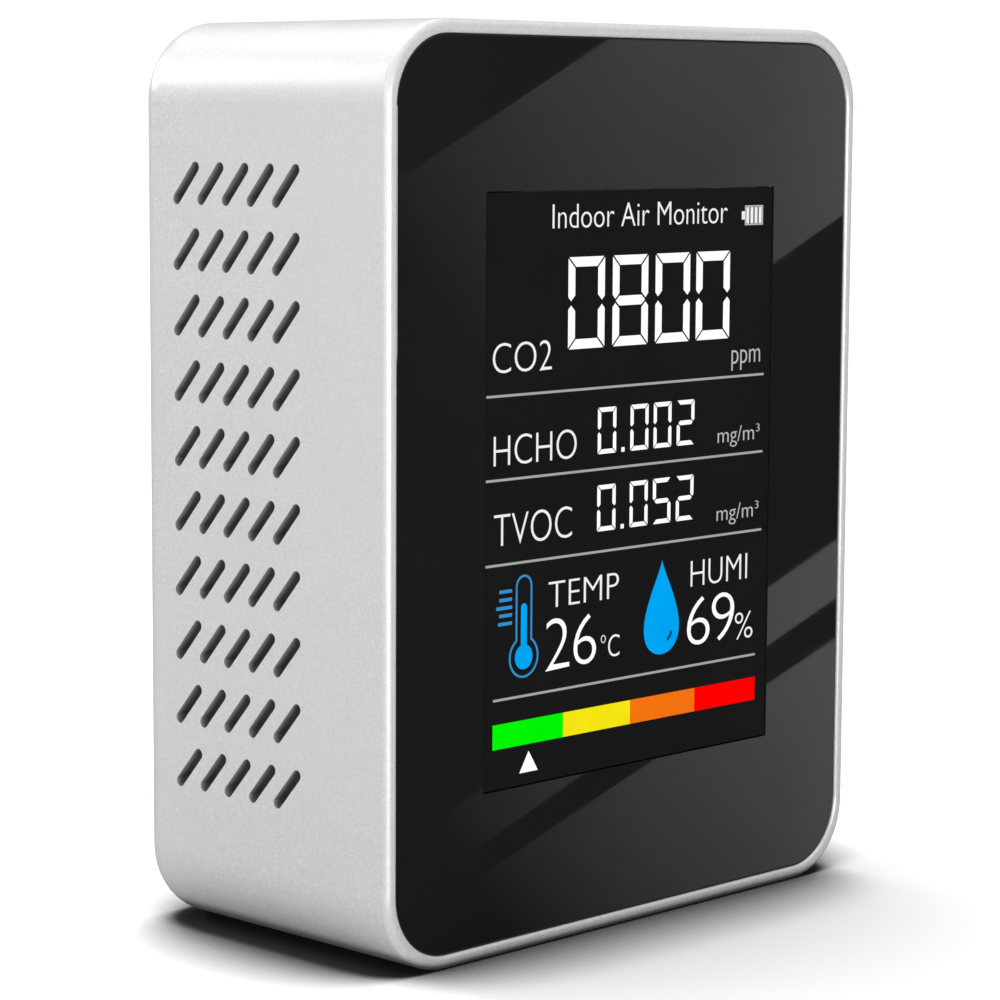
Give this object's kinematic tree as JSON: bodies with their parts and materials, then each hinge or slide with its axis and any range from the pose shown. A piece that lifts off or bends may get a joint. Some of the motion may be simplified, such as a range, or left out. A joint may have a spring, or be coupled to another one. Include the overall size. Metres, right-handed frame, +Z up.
{
  "type": "air quality monitor",
  "caption": "Free-standing rounded air quality monitor with a glossy front panel, upright display, slotted side vents, a rear charging socket and a push button.",
  "frame": {"origin": "middle of the base, at the level the instrument stands on", "axes": "+Z up along the instrument's height, the display faces -Y, +X to the viewer's right"},
  "size_m": [0.073, 0.0384, 0.096],
  "materials": {
    "casing": "fine satin pearl silver",
    "panel": "high gloss black",
    "tape": "soft foam",
    "screw": "plain",
    "button": "satin",
    "polarizer": "smooth film",
    "glass": "clear",
    "light_guide": "clear",
    "reflector": "white film",
    "white_plastic": "moulded",
    "lamp": "phosphor",
    "contact": "gold plated",
    "circuit_board": "solder mask",
    "chip": "moulded",
    "capacitor": "fired",
    "resistor": "fired",
    "can": "drawn sheet",
    "gilded_case": "gold plated",
    "membrane": "filter",
    "cell_foil": "foil",
    "lead_red": "smooth",
    "lead_black": "smooth",
    "wire_white": "smooth"
  },
  "bodies": {
    "housing": {"main_shell": "casing", "rear_cover": "casing", "front_panel": "panel", "panel_tape": "tape", "lcd_foam_tape": "tape", "battery_tape": "tape", "cover_screws": "screw", "board_screws": "screw", "power_board_screws": "screw", "lcd_polarizer_front": "polarizer", "lcd_polarizer_rear": "polarizer", "lcd_front_glass": "glass", "lcd_rear_glass": "glass", "light_guide": "light_guide", "backlight_reflector": "reflector", "backlight_frame": "white_plastic", "hcho_sensor_body": "white_plastic", "battery_socket": "white_plastic", "battery_plug": "white_plastic", "harness_socket_main": "white_plastic", "harness_plug_main": "white_plastic", "harness_socket_power": "white_plastic", "harness_plug_power": "white_plastic", "backlight_leds": "lamp", "lcd_pins": "contact", "co2_sensor_pins": "contact", "main_board": "circuit_board", "co2_sensor_board": "circuit_board", "power_board": "circuit_board", "controller_chip": "chip", "display_driver_chip": "chip", "charger_chip": "chip", "power_inductor": "chip", "buzzer": "chip", "climate_sensor": "chip", "switch_body": "chip", "usb_socket_tongue": "chip", "chip_capacitors": "capacitor", "power_capacitors": "capacitor", "chip_resistors": "resistor", "crystal_can": "can", "voc_sensor_can": "can", "hcho_sensor_cap": "can", "usb_socket_shell": "can", "co2_sensor_case": "gilded_case", "co2_sensor_membrane": "membrane", "battery_cell": "cell_foil", "battery_lead_red": "lead_red", "battery_lead_black": "lead_black", "board_harness": "wire_white"},
    "power_button": {"power_button": "button"},
    "switch_plunger": {"switch_plunger": "chip"}
  },
  "joints": [
    {"name": "power_button_press", "type": "slide", "parent": "housing", "child": "power_button", "axis": [0, -1, 0], "range_m": [0, 0.0004], "stiffness_N_per_m": 1500, "springref_m": -0.0004},
    {"name": "switch_plunger_travel", "type": "slide", "parent": "housing", "child": "switch_plunger", "axis": [0, -1, 0], "range_m": [0, 0.0004]}
  ],
  "couplings": [
    {"joint": "switch_plunger_travel", "follows": "power_button_press", "ratio": 1}
  ]
}
